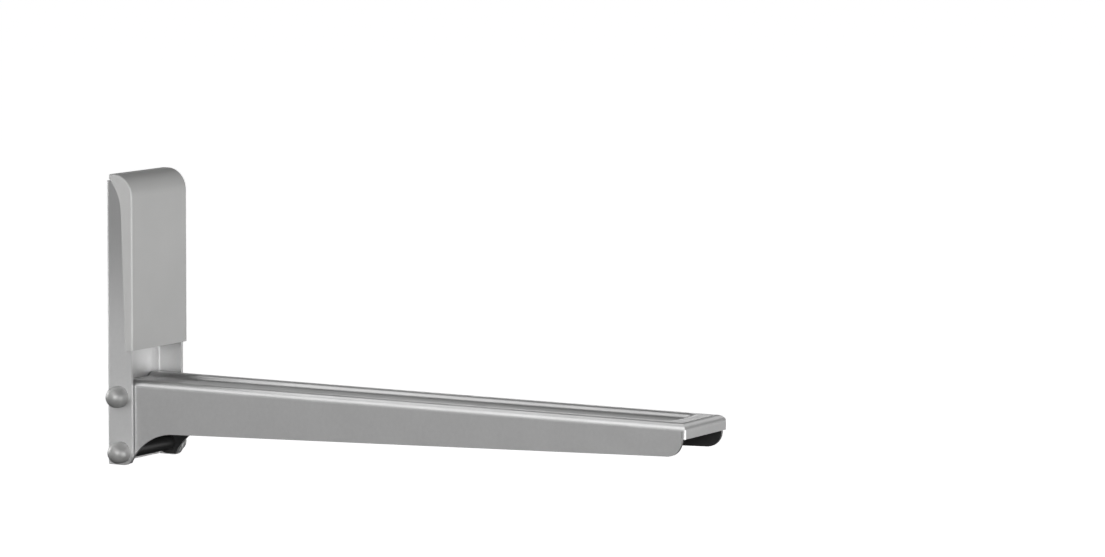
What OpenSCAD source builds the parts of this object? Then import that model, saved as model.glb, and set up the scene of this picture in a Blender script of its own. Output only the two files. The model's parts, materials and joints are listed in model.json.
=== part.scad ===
// Wall bracket for a microwave oven: a pressed steel channel screwed to the
// wall, a pressed steel arm held in it by two through bolts, and a moulded
// cover over the wall screws. Millimetres. +Z is up, +Y points into the wall,
// and the wall is the plane Y = 0. The origin is midway between the two wall
// screws. Inside the modules, u is the distance out from the wall and z the
// height above the channel's foot.

/* [Wall channel] */
// Width across the outside of the two flanges
channel_w = 56.5; // [52:0.5:64]
// Depth of the flanges, out from the wall
channel_depth = 18.5; // [18:0.5:21]
// Height of the channel
channel_h = 174; // [166:1:190]
// Thickness of the channel's steel
channel_sheet = 2; // [1.5:0.1:2.5]
// Outside radius of the two long bends
channel_bend_r = 3; // [2.6:0.1:4]
// Radius of the flanges' lower front corners
foot_r = 6; // [2:0.5:7]
// Radius of the flanges' upper front corners, under the cover
head_r = 10; // [10:0.5:12]

/* [Wall screws] */
// Diameter of the two holes in the web
screw_hole_d = 7; // [5:0.5:9]
// Distance between the two holes
screw_spacing = 60; // [40:1:64]
// Distance from the upper hole to the channel's upper end
screw_drop = 19; // [14:1:24]

/* [Arm] */
// Reach of the arm from the wall to the face of the front lip
arm_reach = 400; // [300:1:450]
// Thickness of the arm's steel
arm_sheet = 2; // [1.5:0.1:2.5]
// Gap between each side of the arm and the channel, filled by a washer
side_gap = 0.75; // [0.5:0.05:1.5]
// Gap between the rear end of the arm and the channel's web
rear_gap = 1; // [0.5:0.1:2]
// Height of the shelf surface above the foot
arm_top_z = 52.3; // [50:0.1:58]
// Outside radius of the bends along the top
arm_bend_r = 4.5; // [3.5:0.1:5.5]
// Height of the lower edge where it starts, behind the rear cut
edge_rear_z = 20.9; // [18:0.1:24]
// Height of the lower edge at the front
edge_front_z = 33; // [28:0.5:36]
// Radius of the panels' lower front corners
panel_corner_r = 10; // [6:0.5:12]
// Radius of the cut under the rear of each panel
rear_cut_r = 35.5; // [30:0.5:38]
// Distance from the wall to the top of the rear cut
rear_cut_u = 47.5; // [44:0.5:52]
// Height of the lowest point of each panel above the foot
lug_low_z = 1; // [0.5:0.1:2]
// Radius of the panels' lower rear corners
lug_corner_r = 6; // [2:0.5:8]
// Height of the lower edge of the front lip above the foot
lip_low_z = 43.4; // [40:0.1:45]
// Width of the seam between the lip and each panel
seam_w = 0.3; // [0.3:0.1:1]
// Radius of the lip's two upright edges
lip_edge_r = 1; // [0.5:0.1:2]

/* [Trough pressed in the arm] */
// Width of the flat rim with its bend, at each side
side_rim_w = 7.5; // [6:0.5:9]
// Width of the flat rim with its bend, at the front
front_rim_w = 12; // [9:0.5:16]
// Depth of the trough
trough_depth = 2.4; // [1.8:0.1:2.8]
// Plan radius of the floor's front corners
trough_corner_r = 2; // [1:0.5:4]

/* [Bolts] */
// Diameter of the bolts
bolt_d = 5; // [4:0.5:5]
// Added to the bolt's diameter for every hole that it passes through
bolt_clearance = 0.3; // [0.2:0.1:0.6]
// Distance of the upper bolt from the wall
upper_bolt_u = 9.6; // [9:0.1:11]
// Height of the upper bolt above the foot
upper_bolt_z = 42.1; // [39:0.1:43]
// Distance of the lower bolt from the wall
lower_bolt_u = 10.7; // [9.6:0.1:11.5]
// Height of the lower bolt above the foot
lower_bolt_z = 7.9; // [7.3:0.1:8.5]
// Width across the flats of the heads and nuts
hex_af = 8; // [7.8:0.1:8.2]
// Height of the heads
head_h = 3.5; // [3:0.1:4]
// Height of the nuts
nut_h = 4; // [3.5:0.1:4.5]
// Length of bolt that stands out of each nut
bolt_tail = 1; // [0.5:0.1:1.5]
// Chamfer on the bolts' ends
bolt_chamfer = 0.5; // [0.2:0.1:0.8]
// Diameter of the steel washers under heads and nuts
steel_washer_d = 10; // [9:0.1:10.2]
// Thickness of the steel washers
steel_washer_t = 1; // [0.8:0.1:1.2]
// Diameter of the plastic washers between arm and channel
side_washer_d = 13; // [11:0.5:13]
// Outside diameter of the spacer tubes inside the arm
spacer_d = 9; // [8:0.5:11]

/* [Ball caps] */
// Diameter of the caps
cap_d = 13.2; // [13:0.1:13.6]
// Length of each cap's straight base, from the flange to the ball's centre
cap_centre = 3.5; // [3.2:0.1:4]
// Clearance between a cap and what it covers
cap_fit = 0.1; // [0.05:0.05:0.2]

/* [Cover] */
// Thickness of the cover's walls
cover_wall = 1.5; // [1.2:0.1:2]
// Clearance between each skirt and its flange
cover_fit = 0.25; // [0.1:0.05:0.4]
// Space between the flanges' front edges and the inside of the cover
cover_front_gap = 0.5; // [0.2:0.1:1]
// Height of the cover's lower edge above the foot
cover_low_z = 71; // [66:0.5:76]
// Space between the channel's upper end and the inside of the cover
cover_head_gap = 2.75; // [2:0.25:5]
// Outside radius of the roll over the top
cover_roll_r = 13; // [12:0.5:13.5]
// Gap between the wall and the rear edge of the cover's top
cover_rear_gap = 4; // [3:0.1:4.5]
// Radius of the cover's outer edges
cover_edge_r = 1; // [0.5:0.1:1.4]
// Depth of the skirts at their lower ends
skirt_low_w = 5.3; // [4:0.1:6]
// Depth of the skirts where the arch begins
skirt_arch_w = 8; // [7:0.1:9]
// Radius of the arch at the top of each skirt
skirt_arch_r = 30; // [26:0.5:34]
// Drop from the cover's top to the start of the arch
skirt_arch_drop = 23.7; // [22:0.1:26]
// Thickness of the ribs inside the cover
rib_t = 1.5; // [1:0.1:2]
// Depth of the long ribs that grip the flanges
grip_rib_depth = 7; // [5:0.5:8]
// Depth of the cross ribs
cross_rib_depth = 3; // [2:0.5:4]
// Distance from the cover's lower edge to the first cross rib, and from its last to the roll
rib_margin = 12; // [8:1:16]

/* [Hidden] */
$fn = 96;

steel_paint = [0.66, 0.66, 0.65];
cover_paint = [0.70, 0.70, 0.69];
cap_paint = [0.62, 0.62, 0.61];
zinc = [0.78, 0.79, 0.80];
nylon = [0.85, 0.85, 0.83];

over = 1;                                          // overshoot of cutting shapes
corner_dip = 0.05;                                 // lets the front corners' arcs cross the lower edge
near_side = -1;                                    // the -X side, where the bolt heads are
far_side = 1;

arm_w = channel_w - 2 * (channel_sheet + side_gap);
arm_half = arm_w / 2;
arm_rear_u = channel_sheet + rear_gap;
arm_inner_half = arm_half - arm_sheet;
panel_front_u = arm_reach - arm_sheet - seam_w;
seam_top_z = arm_top_z - arm_bend_r;

trough_edge_x = arm_half - side_rim_w;
trough_turn = acos(0.8);                           // a 3-4-5 angle, so the bends meet at round numbers
trough_r = 2.5 * trough_depth;                     // radius of both bends, on the upper skin
trough_slope_w = 3 * trough_depth;
trough_rim_r = trough_corner_r + trough_slope_w;
trough_corner_u = arm_reach - front_rim_w - trough_rim_r;

bolt_hole_d = bolt_d + bolt_clearance;
bolt_face_x = channel_w / 2 + steel_washer_t;      // under the head, and under the nut

cover_w = channel_w + 2 * (cover_fit + cover_wall);
cover_front_u = channel_depth + cover_front_gap + cover_wall;
cover_top_z = channel_h + cover_head_gap + cover_wall;
cover_roll_u = cover_front_u - cover_roll_r;
cover_roll_z = cover_top_z - cover_roll_r;
skirt_arch_z = cover_top_z - skirt_arch_drop;
skirt_arch_u = cover_front_u - skirt_arch_w;
grip_rib_x = channel_w / 2 - channel_sheet - cover_fit;
rib_low_z = cover_low_z + rib_margin;
rib_high_z = cover_roll_z - rib_margin;
cross_rib_count = 3;

screw_high_z = channel_h - screw_drop;
screw_low_z = screw_high_z - screw_spacing;
origin_z = (screw_low_z + screw_high_z) / 2;

// Height of the panels' lower edge, u out from the wall
function edge_z(u) =
    edge_rear_z + (edge_front_z - edge_rear_z) * (u - rear_cut_u) / (panel_front_u - rear_cut_u);

// Moves what is built above the channel's foot to the part's own origin
module on_wall() {
    translate([0, 0, -origin_z]) children();
}

// Turns an outline drawn in (u, z) into a slab, from x0 to x1 across the bracket
module across(x0, x1) {
    translate([x1, 0, 0])
        rotate([90, 0, -90])
            linear_extrude(height = x1 - x0) children();
}

// Turns an outline drawn in (x, z) into a bar, from u0 to u1 out from the wall
module outwards(u0, u1) {
    translate([0, -u0, 0])
        rotate([90, 0, 0])
            linear_extrude(height = u1 - u0) children();
}

// Turns an outline drawn in (x, u) into a column, from z0 to z1
module upwards(z0, z1) {
    translate([0, 0, z0])
        linear_extrude(height = z1 - z0)
            mirror([0, 1]) children();
}

// What a rounded corner leaves over: the corner is at the origin, the rest of the plate towards +x and +y
module corner_waste(r) {
    difference() {
        translate([-over, -over]) square(r + over);
        translate([r, r]) circle(r = r);
    }
}

// A rectangle whose two upper corners are rounded
module arched_rect(half_w, low, high, r) {
    difference() {
        translate([-half_w, low]) square([2 * half_w, high - low]);
        for (side = [-1, 1])
            translate([side * half_w, high])
                mirror([side > 0 ? 1 : 0, 0])
                    mirror([0, 1])
                        corner_waste(r);
    }
}

// A cylinder across the bracket, centred on a bolt's axis
module bolt_line(u, z, d, x0, x1) {
    translate([x0, -u, z])
        rotate([0, 90, 0])
            cylinder(d = d, h = x1 - x0);
}

module hex_line(u, z, af, x0, x1) {
    translate([x0, -u, z])
        rotate([0, 90, 0])
            cylinder(d = af / cos(30), h = x1 - x0, $fn = 6);
}

module ring(u, z, outer, inner, x0, x1) {
    difference() {
        bolt_line(u, z, outer, x0, x1);
        bolt_line(u, z, inner, x0 - over, x1 + over);
    }
}

// Wall channel

module channel_section() {
    inner_r = channel_bend_r - channel_sheet;
    difference() {
        mirror([0, 1])
            arched_rect(channel_w / 2, -channel_depth, 0, channel_bend_r);
        mirror([0, 1])
            arched_rect(channel_w / 2 - channel_sheet, -channel_depth - over, -channel_sheet, inner_r);
    }
}

module flange_outline() {
    difference() {
        square([channel_depth, channel_h]);
        translate([channel_depth, 0]) mirror([1, 0]) corner_waste(foot_r);
        translate([channel_depth, channel_h]) rotate(180) corner_waste(head_r);
    }
}

module wall_channel() {
    color(steel_paint)
        difference() {
            intersection() {
                upwards(0, channel_h) channel_section();
                across(-channel_w / 2 - over, channel_w / 2 + over) flange_outline();
            }
            for (z = [screw_low_z, screw_high_z])
                translate([0, over, z])
                    rotate([90, 0, 0])
                        cylinder(d = screw_hole_d, h = channel_sheet + 2 * over);
            bolt_line(upper_bolt_u, upper_bolt_z, bolt_hole_d, -channel_w, channel_w);
            bolt_line(lower_bolt_u, lower_bolt_z, bolt_hole_d, -channel_w, channel_w);
        }
}

// Arm

// The side view of one panel, in (u, z)
module panel_outline() {
    cut_z = edge_z(rear_cut_u);
    difference() {
        polygon([[arm_rear_u, lug_low_z], [rear_cut_u, lug_low_z], [rear_cut_u, cut_z],
                 [panel_front_u, edge_z(panel_front_u)], [panel_front_u, arm_top_z],
                 [arm_rear_u, arm_top_z]]);
        translate([rear_cut_u, cut_z - rear_cut_r]) circle(r = rear_cut_r);
        translate([panel_front_u, edge_z(panel_front_u - panel_corner_r) - corner_dip])
            mirror([1, 0])
                corner_waste(panel_corner_r);
        translate([arm_rear_u, lug_low_z]) corner_waste(lug_corner_r);
    }
}

// A box with rolled top edges, inset all round from the arm's outer faces
module rolled_box(inset) {
    r = arm_bend_r - inset;
    front = arm_reach - inset;
    rear = arm_rear_u - (inset > 0 ? over : 0);
    intersection() {
        outwards(rear, front)
            arched_rect(arm_half - inset, -over, arm_top_z - inset, r);
        across(-arm_half - over, arm_half + over)
            difference() {
                translate([rear, -over]) square([front - rear, arm_top_z - inset + over]);
                translate([front, arm_top_z - inset]) rotate(180) corner_waste(r);
            }
    }
}

// One wall of the trough and the air above it, from its rim at s = 0 to the floor,
// seen from the end; down is 0 for the upper skin and the sheet's thickness for the lower one
module trough_wall(down) {
    upper_r = trough_r - down;
    lower_r = trough_r + down;
    turn_s = upper_r * sin(trough_turn);
    low_v = -trough_depth - down - over;
    high_v = over - down;
    translate([0, -trough_r])
        difference() {
            square([turn_s, trough_r + high_v]);
            circle(r = upper_r);
        }
    intersection() {
        translate([turn_s, low_v]) square([trough_slope_w - turn_s, high_v - low_v]);
        translate([trough_slope_w, trough_r - trough_depth]) circle(r = lower_r);
    }
}

// The trough as a solid that hangs from the arm's top: its air, or its air and its sheet
module trough(down) {
    floor_half = trough_edge_x - trough_slope_w;
    floor_v = -trough_depth - down;
    tall = trough_depth + over;
    start_u = arm_rear_u - over;
    translate([0, 0, arm_top_z]) {
        for (side = [0, 1])
            mirror([side, 0, 0]) {
                outwards(start_u, trough_corner_u)
                    translate([-trough_edge_x, 0]) trough_wall(down);
                translate([floor_half - trough_corner_r, -trough_corner_u, 0])
                    rotate_extrude() {
                        translate([trough_rim_r, 0]) mirror([1, 0]) trough_wall(down);
                        translate([0, floor_v]) square([trough_corner_r, tall]);
                    }
            }
        outwards(start_u, trough_corner_u)
            translate([-floor_half, floor_v]) square([2 * floor_half, tall]);
        across(-floor_half + trough_corner_r, floor_half - trough_corner_r) {
            translate([trough_corner_u + trough_rim_r, 0]) mirror([1, 0]) trough_wall(down);
            translate([trough_corner_u, floor_v]) square([trough_corner_r, tall]);
        }
    }
}

module arm() {
    color(steel_paint)
        difference() {
            rolled_box(0);
            difference() {
                rolled_box(arm_sheet);
                trough(arm_sheet);
            }
            trough(0);
            // below the panels' lower edges, and the seams beside the lip
            for (side = [0, 1])
                mirror([side, 0, 0])
                    across(arm_inner_half - over, arm_half + over)
                        difference() {
                            translate([arm_rear_u - over, -2 * over])
                                square([arm_reach - arm_sheet - arm_rear_u + over, seam_top_z + 2 * over]);
                            panel_outline();
                        }
            // below the lip
            across(-arm_half - over, arm_half + over)
                translate([panel_front_u, -2 * over])
                    square([arm_reach - panel_front_u + over, lip_low_z + 2 * over]);
            // the lip's upright edges
            upwards(-over, arm_top_z + over)
                for (side = [0, 1])
                    mirror([side, 0])
                        translate([-arm_half, arm_reach])
                            mirror([0, 1])
                                corner_waste(lip_edge_r);
            bolt_line(upper_bolt_u, upper_bolt_z, bolt_hole_d, -channel_w, channel_w);
            bolt_line(lower_bolt_u, lower_bolt_z, bolt_hole_d, -channel_w, channel_w);
        }
}

// Bolts and what they hold

// A hexagon bolt with its head on the near side
module bolt(u, z) {
    end_x = bolt_face_x + nut_h + bolt_tail;
    color(zinc) {
        hex_line(u, z, hex_af, -bolt_face_x - head_h, -bolt_face_x);
        bolt_line(u, z, bolt_d, -bolt_face_x - head_h / 2, end_x - bolt_chamfer);
        translate([end_x - bolt_chamfer, -u, z])
            rotate([0, 90, 0])
                cylinder(d1 = bolt_d, d2 = bolt_d - 2 * bolt_chamfer, h = bolt_chamfer);
    }
}

module nut(u, z) {
    color(zinc)
        difference() {
            hex_line(u, z, hex_af, bolt_face_x, bolt_face_x + nut_h);
            bolt_line(u, z, bolt_d + cap_fit, bolt_face_x - over, bolt_face_x + nut_h + over);
        }
}

module steel_washer(u, z, side) {
    color(zinc)
        mirror([side > 0 ? 0 : 1, 0, 0])
            ring(u, z, steel_washer_d, bolt_hole_d, channel_w / 2, bolt_face_x);
}

module side_washer(u, z, side) {
    color(nylon)
        mirror([side > 0 ? 0 : 1, 0, 0])
            ring(u, z, side_washer_d, bolt_hole_d, arm_half, arm_half + side_gap);
}

module spacer(u, z) {
    color(zinc)
        ring(u, z, spacer_d, bolt_hole_d, -arm_inner_half, arm_inner_half);
}

// Half a ball on a short straight base, hollow for the washer and the hexagon
module ball_cap(u, z, side) {
    flange_x = channel_w / 2;
    hex_end_x = bolt_face_x + nut_h + bolt_tail + cap_fit;
    color(cap_paint)
        mirror([side > 0 ? 0 : 1, 0, 0])
            difference() {
                translate([flange_x, -u, z])
                    rotate([0, 90, 0])
                        rotate_extrude() {
                            square([cap_d / 2, cap_centre]);
                            translate([0, cap_centre])
                                intersection() {
                                    circle(d = cap_d);
                                    square(cap_d / 2);
                                }
                        }
                bolt_line(u, z, steel_washer_d + 2 * cap_fit, flange_x - over, bolt_face_x + cap_fit);
                hex_line(u, z, hex_af + 2 * cap_fit, flange_x - over, hex_end_x);
            }
}

// Cover

// A block whose top rolls over into its front face, inset all round from the cover's outer faces
module rolled_block(inset, low_z) {
    half = cover_w / 2 - inset;
    r = cover_roll_r - inset;
    edge = max(cover_edge_r - inset, 0);
    rear_u = cover_rear_gap - (inset > 0 ? cover_wall : 0);
    front_u = cover_front_u - inset;
    intersection() {
        union() {
            upwards(low_z, cover_roll_z)
                difference() {
                    translate([-half, rear_u]) square([2 * half, front_u - rear_u]);
                    for (side = [0, 1])
                        mirror([side, 0])
                            translate([-half, front_u])
                                mirror([0, 1])
                                    corner_waste(edge);
                }
            outwards(rear_u, cover_roll_u)
                arched_rect(half, low_z, cover_top_z - inset, edge);
            translate([0, -cover_roll_u, cover_roll_z])
                rotate([0, 90, 0])
                    rotate_extrude()
                        intersection() {
                            rotate(-90) arched_rect(half, -r, r, edge);
                            translate([0, -half]) square([r, 2 * half]);
                        }
        }
        translate([-cover_w, -cover_front_u - over, low_z])
            cube([2 * cover_w, cover_front_u + over - rear_u, cover_top_z]);
    }
}

// What the skirts leave open towards the wall, in (u, z)
module skirt_opening() {
    behind_u = skirt_arch_u - 2 * skirt_arch_r;
    polygon([[behind_u, cover_low_z - over], [cover_front_u - skirt_low_w, cover_low_z - over],
             [skirt_arch_u, skirt_arch_z], [behind_u, skirt_arch_z]]);
    translate([skirt_arch_u - skirt_arch_r, skirt_arch_z]) circle(r = skirt_arch_r);
}

// Ribs inside the cover, rooted in its front wall: two long ones that grip the
// flanges from inside, and cross ribs between them
module cover_ribs() {
    root_y = cover_wall / 2 - cover_front_u;
    root = cover_wall / 2;
    height = rib_high_z - rib_low_z;
    pitch = (height - rib_t) / (cross_rib_count - 1);
    for (side = [0, 1])
        mirror([side, 0, 0])
            translate([grip_rib_x - rib_t, root_y, rib_low_z])
                cube([rib_t, root + grip_rib_depth, height]);
    for (i = [0 : cross_rib_count - 1])
        translate([-grip_rib_x + rib_t / 2, root_y, rib_low_z + i * pitch])
            cube([2 * grip_rib_x - rib_t, root + cross_rib_depth, rib_t]);
}

module cover() {
    color(cover_paint) {
        difference() {
            rolled_block(0, cover_low_z);
            rolled_block(cover_wall, cover_low_z - over);
            across(-cover_w, cover_w) skirt_opening();
        }
        cover_ribs();
    }
}

on_wall() {
    wall_channel();
    arm();
    cover();
    bolt(upper_bolt_u, upper_bolt_z);  // upper_bolt
    bolt(lower_bolt_u, lower_bolt_z);  // lower_bolt
    nut(upper_bolt_u, upper_bolt_z);  // upper_nut
    nut(lower_bolt_u, lower_bolt_z);  // lower_nut
    steel_washer(upper_bolt_u, upper_bolt_z, near_side);  // upper_head_washer
    steel_washer(upper_bolt_u, upper_bolt_z, far_side);  // upper_nut_washer
    steel_washer(lower_bolt_u, lower_bolt_z, near_side);  // lower_head_washer
    steel_washer(lower_bolt_u, lower_bolt_z, far_side);  // lower_nut_washer
    side_washer(upper_bolt_u, upper_bolt_z, near_side);  // upper_left_side_washer
    side_washer(upper_bolt_u, upper_bolt_z, far_side);  // upper_right_side_washer
    side_washer(lower_bolt_u, lower_bolt_z, near_side);  // lower_left_side_washer
    side_washer(lower_bolt_u, lower_bolt_z, far_side);  // lower_right_side_washer
    spacer(upper_bolt_u, upper_bolt_z);  // upper_spacer
    spacer(lower_bolt_u, lower_bolt_z);  // lower_spacer
    ball_cap(upper_bolt_u, upper_bolt_z, near_side);  // upper_left_cap
    ball_cap(upper_bolt_u, upper_bolt_z, far_side);  // upper_right_cap
    ball_cap(lower_bolt_u, lower_bolt_z, near_side);  // lower_left_cap
    ball_cap(lower_bolt_u, lower_bolt_z, far_side);  // lower_right_cap
}
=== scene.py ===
# %% [markdown]
# A wall bracket for a microwave oven. The solids come in as a fixed frame, in metres:
# the wall is the plane Y = 0, the arm runs out along -Y, and +Z is up. This lesson gives
# them their finishes, their light and a camera at the viewing angle of a product picture.
# All shapes come from the solids, so the work here is in paint, plastic and light.

# %% Load the frame
import json
import math

import bmesh
import bpy
from mathutils import Matrix, Vector


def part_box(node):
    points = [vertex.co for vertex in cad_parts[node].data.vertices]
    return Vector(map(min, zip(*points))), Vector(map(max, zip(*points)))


MM = 0.001
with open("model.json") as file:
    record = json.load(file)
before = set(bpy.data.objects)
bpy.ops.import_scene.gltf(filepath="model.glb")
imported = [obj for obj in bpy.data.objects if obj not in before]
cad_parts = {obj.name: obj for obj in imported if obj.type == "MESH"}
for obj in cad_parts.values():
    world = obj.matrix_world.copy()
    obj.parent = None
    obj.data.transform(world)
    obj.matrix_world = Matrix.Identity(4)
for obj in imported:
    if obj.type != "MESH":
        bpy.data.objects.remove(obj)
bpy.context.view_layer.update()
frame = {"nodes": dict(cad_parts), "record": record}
nodes = frame["nodes"]
wall_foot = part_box("wall_channel")[0].z

# %% [markdown]
# Lights and cameras are easiest to read and to change as on a turntable: an angle round the
# object, an angle above the horizon and a distance. These two helpers turn such a
# description into a placing, and both the camera and the lamps use them.


# %% Turntable placing
def direction(azimuth, elevation):
    """The unit vector that points from the object to an eye at those angles, in degrees."""
    a = math.radians(azimuth)
    e = math.radians(elevation)
    return Vector((math.sin(a) * math.cos(e), -math.cos(a) * math.cos(e), math.sin(e)))


def turned_to(where, towards):
    """A placing at one point with -Z towards another, as lights and cameras look."""
    turn = (towards - where).to_track_quat("-Z", "Y")
    return Matrix.Translation(where) @ turn.to_matrix().to_4x4()


print("straight in front is", tuple(direction(0.0, 0.0)))

# %% [markdown]
# The picture was taken with a long lens from far away, which keeps the two long edges of
# the arm almost parallel. The lens looks a little to the right of the bracket, which
# leaves the empty space at the right of the picture.

# %% Camera
VIEW_AZIMUTH = -60.32
VIEW_ELEVATION = 6.20
VIEW_ROLL = 0.19
VIEW_DISTANCE = 3.208
LENS_MM = 169.4
SENSOR_MM = 36.0
NEAREST_SEEN = 0.05
FARTHEST_SEEN = 60.0
AIM = Vector((0.13845, -0.21859, wall_foot + 0.11103))

lens = bpy.data.cameras.new("camera")
lens.lens = LENS_MM
lens.sensor_width = SENSOR_MM
lens.clip_start = NEAREST_SEEN
lens.clip_end = FARTHEST_SEEN
camera = bpy.data.objects.new("camera", lens)
eye = AIM + VIEW_DISTANCE * direction(VIEW_AZIMUTH, VIEW_ELEVATION)
camera.matrix_world = turned_to(eye, AIM) @ Matrix.Rotation(math.radians(VIEW_ROLL), 4, "Z")
bpy.context.scene.collection.objects.link(camera)
bpy.context.scene.camera = camera
print("camera at", tuple(round(c, 3) for c in camera.matrix_world.translation))

# %% [markdown]
# Shaders are graphs of nodes, and their maths is easier to read as maths. This class wraps
# one output socket, so that `0.5 + 0.2 * mask` adds the Math nodes by itself. The names
# with an r are for a plain number on the left of the sign.


# %% A socket that can be added and multiplied
class Value:
    """One output socket of a material's graph, with the arithmetic that shader maths uses."""

    def __init__(self, graph, socket):
        self.graph = graph
        self.socket = socket

    def __add__(self, other):
        return self.graph.maths("ADD", self, other)

    def __radd__(self, other):
        return self.graph.maths("ADD", other, self)

    def __sub__(self, other):
        return self.graph.maths("SUBTRACT", self, other)

    def __rsub__(self, other):
        return self.graph.maths("SUBTRACT", other, self)

    def __mul__(self, other):
        return self.graph.maths("MULTIPLY", self, other)

    def __rmul__(self, other):
        return self.graph.maths("MULTIPLY", other, self)


print("shader values can be added, subtracted and multiplied")

# %% [markdown]
# A graph belongs to one material. Every node comes from `add`, which takes the node's type,
# its settings and what goes into its sockets. What is the same all over a surface is set on
# the surface's own sockets when the graph starts.


# %% The graph of one material
class Graph:
    """The nodes of one material, with a Principled surface whose plain sockets are set first."""

    def __init__(self, name, plain):
        self.material = bpy.data.materials.new(name)
        self.material.use_nodes = True
        self.tree = self.material.node_tree
        self.surface = self.tree.nodes["Principled BSDF"]
        for label, value in plain.items():
            self.surface.inputs[label].default_value = value

    def add(self, kind, settings=None, inputs=None, output=0):
        node = self.tree.nodes.new(kind)
        for label, value in (settings or {}).items():
            setattr(node, label, value)
        for label, value in (inputs or {}).items():
            self.feed(node.inputs[label], value)
        return Value(self, node.outputs[output])

    def feed(self, socket, value):
        if isinstance(value, Value):
            self.tree.links.new(value.socket, socket)
        else:
            socket.default_value = value

    def out(self, label, value):
        self.feed(self.surface.inputs[label], value)

    def maths(self, operation, first, second=0.0):
        return self.add("ShaderNodeMath", {"operation": operation}, {0: first, 1: second})


print("a graph adds its nodes, feeds their sockets and ends in one surface")

# %% [markdown]
# Two questions about a point come back in several finishes: where it lies, and which way
# its surface faces. The coordinates of an object are real lengths here, so where a finish
# changes can be said in metres.


# %% Where a point lies, and which way it faces
def along(graph, axis):
    """How far a point lies along X, Y or Z, in metres."""
    place = graph.add("ShaderNodeTexCoord", output="Object")
    return graph.add("ShaderNodeSeparateXYZ", {}, {"Vector": place}, output=axis)


def rise(graph, low, high):
    """0 below one height and 1 above another, with a soft passage between them, in metres."""
    inputs = {"Value": along(graph, "Z"), "From Min": low, "From Max": high}
    return graph.add("ShaderNodeMapRange", {"interpolation_type": "SMOOTHSTEP"}, inputs)


def facing_up(graph):
    """1 where the surface faces up, and 0 where it stands upright or faces down."""
    normal = graph.add("ShaderNodeNewGeometry", output="Normal")
    upward = graph.add("ShaderNodeSeparateXYZ", {}, {"Vector": normal}, output="Z")
    return graph.maths("MAXIMUM", upward, 0.0)


print("heights count from the channel's foot at", round(wall_foot, 4))

# %% [markdown]
# Every finish is a little uneven, and noise is what makes it so: in its tone, in its gloss
# and in its bumps. The noise is given by the width of its blotches in millimetres, because
# that can be looked up on the real thing.


# %% Noise, bumps and tones
def noise(graph, size_mm, detail=2.0):
    """Cloudy noise from 0 to 1 whose blotches are about that wide."""
    place = graph.add("ShaderNodeTexCoord", output="Object")
    inputs = {"Vector": place, "Scale": 1.0 / (size_mm * MM), "Detail": detail}
    return graph.add("ShaderNodeTexNoise", {}, inputs, output="Fac")


def bump(graph, height, depth_mm, onto=None):
    """A normal that is raised by the height, on top of another bump if one is given."""
    inputs = {"Height": height, "Distance": depth_mm * MM, "Strength": 1.0}
    if onto is not None:
        inputs["Normal"] = onto
    return graph.add("ShaderNodeBump", {}, inputs)


def blend(graph, factor, first, second):
    """The colour that goes from the first to the second; 6 and 7 are the Mix node's colours."""
    inputs = {0: factor, 6: first, 7: second}
    return graph.add("ShaderNodeMix", {"data_type": "RGBA"}, inputs, output=2)


def grey(tone, warmth=0.0):
    """A grey with its blue taken down by the warmth."""
    return (tone, tone, tone - warmth, 1.0)


def uneven(graph, least, more, size_mm):
    """A number that is the least plus up to so much more, in blotches of that width."""
    return least + more * noise(graph, size_mm)


print("a middle grey is", grey(0.5))

# %% [markdown]
# The record of the part names a finish for each node. The materials are kept here under
# those names as they are made, so no list has to be written twice.

# %% The finishes
finishes = {}


def keep(slot, graph):
    finishes[slot] = graph.material
    print(slot, "is", graph.material.name, "with", len(graph.tree.nodes), "nodes")


# %% [markdown]
# The steel is sprayed with a silver enamel, a clear paint full of aluminium flakes. That is
# why it is mostly metallic: a surface darkens and brightens with what it mirrors. Up close
# there are four layers of detail: the flakes, a mottle where they lie thicker, the orange
# peel of the spray, and very soft clouds over the whole sheet.

# %% The tone and the skin of silver enamel
FLAKE_MM = 0.45
MOTTLE_MM = 2.2
PEEL_MM = 1.6
CLOUD_MM = 26.0
HANDLED_MM = 9.0
FLAKE_DEPTH_MM = 0.004
PEEL_DEPTH_MM = 0.012
CLOUD_SHARE = 0.35
MOTTLE_SHARE = 0.35
FLAKE_SHARE = 0.3
ENAMEL_SPECULAR = 0.5


def enamel_colour(graph, flakes, dark, pale):
    clouds = CLOUD_SHARE * noise(graph, CLOUD_MM, detail=3.0)
    tone = clouds + MOTTLE_SHARE * noise(graph, MOTTLE_MM) + FLAKE_SHARE * flakes
    return blend(graph, tone, grey(dark), grey(pale))


def enamel_skin(graph, flakes):
    peel = bump(graph, noise(graph, PEEL_MM, detail=1.0), PEEL_DEPTH_MM)
    return bump(graph, flakes, FLAKE_DEPTH_MM, onto=peel)


print("flakes", FLAKE_MM, "mottle", MOTTLE_MM, "orange peel", PEEL_MM, "clouds", CLOUD_MM, "mm")

# %% [markdown]
# The channel's sides look darker towards their top, beside the cover's skirt, which stands
# out from them. The side and the skirt are parallel and mirror the same lamp, so no lamp
# can part them. So this shade is painted into the enamel's colour: it darkens towards the
# top, over a long soft passage.

# %% Silver enamel on the wall channel, with painted shade towards its top
CHANNEL_METAL = 0.75
CHANNEL_DARK = 0.56
CHANNEL_PALE = 0.68
# the grey of the painted shade at the channel's top, and the heights of its soft passage
CHANNEL_PAINTED_SHADE = 0.37
SHADE_PASSAGE_LOW = wall_foot + 0.065
SHADE_PASSAGE_HIGH = wall_foot + 0.155


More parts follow.
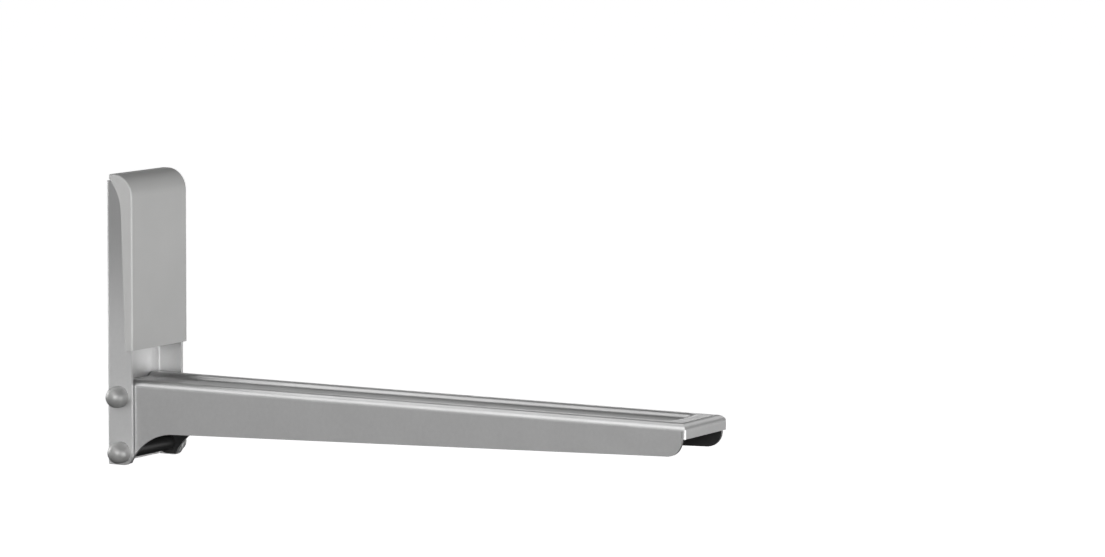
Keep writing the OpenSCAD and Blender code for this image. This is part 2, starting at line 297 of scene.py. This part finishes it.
def channel_enamel():
    graph = Graph("channel_enamel", {"Metallic": CHANNEL_METAL, "Specular IOR Level": ENAMEL_SPECULAR})
    flakes = noise(graph, FLAKE_MM, detail=1.0)
    tone = enamel_colour(graph, flakes, CHANNEL_DARK, CHANNEL_PALE)
    # painted shade: the colour darkens towards the channel's top, beside the cover's skirt
    painted_shade = rise(graph, SHADE_PASSAGE_LOW, SHADE_PASSAGE_HIGH)
    graph.out("Base Color", blend(graph, painted_shade, tone, grey(CHANNEL_PAINTED_SHADE)))
    graph.out("Roughness", uneven(graph, least=0.36, more=0.10, size_mm=HANDLED_MM))
    graph.out("Normal", enamel_skin(graph, flakes))
    return graph


keep("channel_paint", channel_enamel())

# %% [markdown]
# The arm has the same enamel outside. The hollow under the shelf lies in shade, and that
# shade is painted into its colour, which is nearly black there. The mask is three
# comparisons of where a point lies: between the outer skins of the panels, below the
# shelf's sheet, and behind the front lip. Its borders fall inside the sheet or in the
# corners of the hollow, where they hardly show, so they need no softening.

# %% Where the arm's hollow lies
SHEET = 2.0 * MM
TROUGH = 2.4 * MM
DEEP_IN_SHEET = 0.9 * SHEET
HALFWAY_IN_SHEET = 0.5 * SHEET
arm_low, arm_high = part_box("arm")
hollow_half = arm_high.x - DEEP_IN_SHEET
hollow_top = arm_high.z - TROUGH - HALFWAY_IN_SHEET
hollow_front = arm_low.y + HALFWAY_IN_SHEET


# the mask of the hollow that gets the painted shade
def shaded_hollow_mask(graph):
    within = graph.maths("LESS_THAN", graph.maths("ABSOLUTE", along(graph, "X")), hollow_half)
    below = graph.maths("LESS_THAN", along(graph, "Z"), hollow_top)
    behind = graph.maths("GREATER_THAN", along(graph, "Y"), hollow_front)
    return within * below * behind


print("hollow half width", round(hollow_half, 4), "top", round(hollow_top, 4))

# %% [markdown]
# The silver enamel and the painted shade of the hollow are mixed by that mask. The painted
# shade is a flat colour with no flakes in it, so inside the hollow the metal goes and the
# roughness grows.

# %% Silver enamel on the arm, and painted shade in its hollow
ARM_METAL = 0.85
ARM_DARK = 0.46
ARM_PALE = 0.61
# near-black greys of the painted shade in the hollow under the shelf
HOLLOW_SHADE_DARK = 0.014
HOLLOW_SHADE_PALE = 0.026
HOLLOW_SHADE_MM = 5.0
HOLLOW_ROUGHER = 0.28


def arm_enamel():
    graph = Graph("arm_enamel", {"Specular IOR Level": ENAMEL_SPECULAR})
    flakes = noise(graph, FLAKE_MM, detail=1.0)
    shaded_hollow = shaded_hollow_mask(graph)
    # painted shade: the hollow under the shelf is coloured nearly black
    hollow_shade = blend(graph, noise(graph, HOLLOW_SHADE_MM, detail=3.0), grey(HOLLOW_SHADE_DARK), grey(HOLLOW_SHADE_PALE))
    silver = enamel_colour(graph, flakes, ARM_DARK, ARM_PALE)
    graph.out("Base Color", blend(graph, shaded_hollow, silver, hollow_shade))
    graph.out("Metallic", ARM_METAL - ARM_METAL * shaded_hollow)
    gloss = uneven(graph, least=0.34, more=0.09, size_mm=HANDLED_MM)
    graph.out("Roughness", gloss + HOLLOW_ROUGHER * shaded_hollow)
    graph.out("Normal", enamel_skin(graph, flakes))
    return graph


keep("arm_paint", arm_enamel())

# %% [markdown]
# The cover is moulded plastic in a matching silver grey. The mould is spark eroded, which
# leaves a fine even grain that kills the gloss, so its highlights are wider than the
# steel's. A shade is painted on its faces that point up, so its rounded top is darker than
# its front.

# %% Grained plastic of the cover
GRAIN_MM = 0.5
GRAIN_DEPTH_MM = 0.008
COVER_CLOUD_MM = 30.0
COVER_DARK = grey(0.40, 0.004)
COVER_PALE = grey(0.46, 0.004)
# the grey of the painted shade on the cover's upward faces
COVER_PAINTED_SHADE = grey(0.26, 0.002)


def cover_plastic():
    graph = Graph("cover_plastic", {"Metallic": 0.15, "Specular IOR Level": 0.4})
    grain = noise(graph, GRAIN_MM)
    clouds = noise(graph, COVER_CLOUD_MM)
    moulded = blend(graph, 0.8 * clouds + 0.2 * grain, COVER_DARK, COVER_PALE)
    # painted shade: faces that point up are darker than the front
    graph.out("Base Color", blend(graph, 0.8 * facing_up(graph), moulded, COVER_PAINTED_SHADE))
    graph.out("Roughness", 0.46 + 0.08 * grain)
    graph.out("Normal", bump(graph, grain, GRAIN_DEPTH_MM))
    return graph


keep("cover_plastic", cover_plastic())

# %% [markdown]
# The ball caps come from the same plastic out of a smoother mould. Handling leaves them
# darker in blotches of two sizes, and with less gloss in some spots than in others.

# %% Smooth plastic of the ball caps
BLOTCH_MM = 6.0
SPECK_MM = 1.6
RUBBED_MM = 2.5
CAP_BUMP_MM = 0.6
CAP_DEPTH_MM = 0.008
CAP_DARK = grey(0.22, 0.003)
CAP_PALE = grey(0.34, 0.003)


def cap_plastic():
    graph = Graph("cap_plastic", {"Metallic": 0.3, "Specular IOR Level": 0.5})
    blotches = 0.6 * noise(graph, BLOTCH_MM) + 0.4 * noise(graph, SPECK_MM)
    graph.out("Base Color", blend(graph, blotches, CAP_DARK, CAP_PALE))
    graph.out("Roughness", uneven(graph, least=0.38, more=0.10, size_mm=RUBBED_MM))
    graph.out("Normal", bump(graph, noise(graph, CAP_BUMP_MM, detail=1.0), CAP_DEPTH_MM))
    return graph


keep("cap_plastic", cap_plastic())

# %% [markdown]
# The small parts between the panels hardly show, but a reader who turns the part round or
# takes it apart finds them. The bolts, nuts and steel washers are plated with zinc, whose
# crystals leave a faint spangle in cold light greys.

# %% Zinc plating
SPANGLE_MM = 4.0
PLATED_MM = 1.5
PITTED_MM = 0.4
PITTED_DEPTH_MM = 0.005
ZINC_DARK = (0.52, 0.53, 0.55, 1.0)
ZINC_PALE = (0.70, 0.71, 0.72, 1.0)


def zinc_plating():
    graph = Graph("zinc_plating", {"Metallic": 1.0})
    spangle = noise(graph, SPANGLE_MM, detail=4.0)
    graph.out("Base Color", blend(graph, spangle, ZINC_DARK, ZINC_PALE))
    graph.out("Roughness", uneven(graph, least=0.24, more=0.16, size_mm=PLATED_MM))
    graph.out("Normal", bump(graph, noise(graph, PITTED_MM), PITTED_DEPTH_MM))
    return graph


keep("zinc_steel", zinc_plating())

# %% [markdown]
# The side washers between the arm and the flanges are natural nylon. It is milky, because
# light goes some way into it, and a little yellow where it is thick.

# %% Natural nylon
NYLON_CLOUD_MM = 3.0
SCUFF_MM = 0.5
NYLON_DEPTH_MM = 0.005
NYLON_DARK = grey(0.72, 0.04)
NYLON_PALE = grey(0.80, 0.03)


def natural_nylon():
    graph = Graph("natural_nylon", {"Subsurface Weight": 0.1, "Specular IOR Level": 0.4})
    clouds = noise(graph, NYLON_CLOUD_MM)
    graph.out("Base Color", blend(graph, clouds, NYLON_DARK, NYLON_PALE))
    graph.out("Roughness", 0.42 + 0.10 * clouds)
    graph.out("Normal", bump(graph, noise(graph, SCUFF_MM), NYLON_DEPTH_MM))
    return graph


keep("washer_nylon", natural_nylon())

# %% [markdown]
# The spacer tubes inside the arm are extruded black plastic, smooth and fairly shiny, and
# only slightly paler where their skin is worn.

# %% Black plastic of the spacer tubes
WORN_MM = 3.0
SHINE_MM = 1.2
TUBE_DEPTH_MM = 0.004
TUBE_DARK = grey(0.012)
TUBE_PALE = grey(0.022)


def black_plastic():
    graph = Graph("black_plastic", {"Specular IOR Level": 0.5})
    graph.out("Base Color", blend(graph, noise(graph, WORN_MM), TUBE_DARK, TUBE_PALE))
    graph.out("Roughness", uneven(graph, least=0.30, more=0.12, size_mm=SHINE_MM))
    graph.out("Normal", bump(graph, noise(graph, SCUFF_MM), TUBE_DEPTH_MM))
    return graph


keep("spacer_plastic", black_plastic())

# %% [markdown]
# A solid from the frame keeps its mesh, and only its material is changed. The names in the
# record lead from each node to its finish.

# %% Give every node its finish
for part in frame["record"]["subparts"]:
    piece = nodes[part["node"]]
    piece.data.materials.clear()
    piece.data.materials.append(finishes[part["material_slot"]])
print("finishes", sorted(finishes))

# %% [markdown]
# A product picture has a white ground with no corner in it. The floor lies well below the
# bracket, as below a thing that hangs on a wall, so no shadow of it comes into view, and it
# glows by itself. It neither lights the bracket nor shows in its gloss, because in the
# picture the undersides are dark.

# %% Floor
FLOOR_DROP = 0.45
FLOOR_HALF = 14.0
FLOOR_TONE = 0.86


def floor_paint():
    graph = Graph("floor_paint", {"Roughness": 0.9, "Specular IOR Level": 0.1, "Emission Strength": 1.0})
    graph.out("Base Color", grey(FLOOR_TONE))
    graph.out("Emission Color", grey(1.0))
    return graph.material


plane = bmesh.new()
bmesh.ops.create_grid(plane, x_segments=2, y_segments=2, size=FLOOR_HALF)
bmesh.ops.translate(plane, verts=plane.verts, vec=(0.0, 0.0, wall_foot - FLOOR_DROP))
floor_mesh = bpy.data.meshes.new("floor")
plane.to_mesh(floor_mesh)
plane.free()
floor = bpy.data.objects.new("floor", floor_mesh)
floor.data.materials.append(floor_paint())
floor.visible_diffuse = False
floor.visible_glossy = False
bpy.context.scene.collection.objects.link(floor)
print("floor", FLOOR_DROP, "m below the foot")

# %% [markdown]
# Metallic paint shows its lamps more than it is lit by them, so each lamp is placed for the
# faces that mirror it towards the camera. Large panels keep every edge of a reflection
# soft. Each one stands on a circle round the middle of the bracket and faces it.

# %% A soft panel
PANEL_DISTANCE = 2.4
PANEL_MIDDLE = Vector((0.0, -0.2, wall_foot + 0.08))


def soft_panel(name, azimuth, elevation, size, watts):
    """A rectangle of light at those angles, whose width and height in metres are its size."""
    light = bpy.data.lights.new(name, "AREA")
    light.shape = "RECTANGLE"
    light.size, light.size_y = size
    light.energy = watts
    lamp = bpy.data.objects.new(name, light)
    where = PANEL_MIDDLE + PANEL_DISTANCE * direction(azimuth, elevation)
    lamp.matrix_world = turned_to(where, PANEL_MIDDLE)
    bpy.context.scene.collection.objects.link(lamp)


print("panels stand", PANEL_DISTANCE, "m from", tuple(round(c, 3) for c in PANEL_MIDDLE))

# %% [markdown]
# The left panels light the channel's side, the arm's near panel and the caps. The front one
# lights the cover and the web, and the right ones stand where the cover's front and its
# rounded top mirror them. The rear ones show in the arm's top and along its bends, and the
# back one is for a view from behind.

# %% Soft panels all round
soft_panel("left_panel", -72.0, 9.0, (1.6, 1.2), 44.0)
soft_panel("high_left_panel", -112.0, 40.0, (2.4, 1.6), 24.0)
soft_panel("left_rear_panel", -128.0, -4.0, (1.6, 1.2), 3.3)
soft_panel("near_left_panel", -35.0, 2.0, (1.6, 1.2), 11.0)
soft_panel("front_panel", 8.0, -8.0, (2.4, 1.6), 57.0)
soft_panel("low_right_panel", 62.0, 0.0, (1.2, 1.0), 2.6)
soft_panel("right_panel", 80.0, 26.0, (1.4, 1.0), 5.0)
soft_panel("right_rear_panel", 104.0, -5.0, (1.6, 1.0), 16.0)
soft_panel("rear_panel", 118.0, 8.0, (2.0, 0.8), 4.0)
soft_panel("back_panel", 180.0, 12.0, (1.6, 1.2), 34.0)
soft_panel("high_rear_panel", 165.0, 55.0, (1.6, 1.2), 11.0)

# %% [markdown]
# The air is as white as the ground where the camera looks past the floor, and like the
# ground it gives no light, so only the panels count. The Standard view keeps white white,
# where a filmic one would turn the ground grey.

# %% Air and view
air = bpy.data.worlds.new("studio")
air.use_nodes = True
air.node_tree.nodes["Background"].inputs["Color"].default_value = grey(1.0)
air.cycles_visibility.diffuse = False
air.cycles_visibility.glossy = False
bpy.context.scene.world = air
bpy.context.scene.view_settings.view_transform = "Standard"
print("view", bpy.context.scene.view_settings.view_transform)
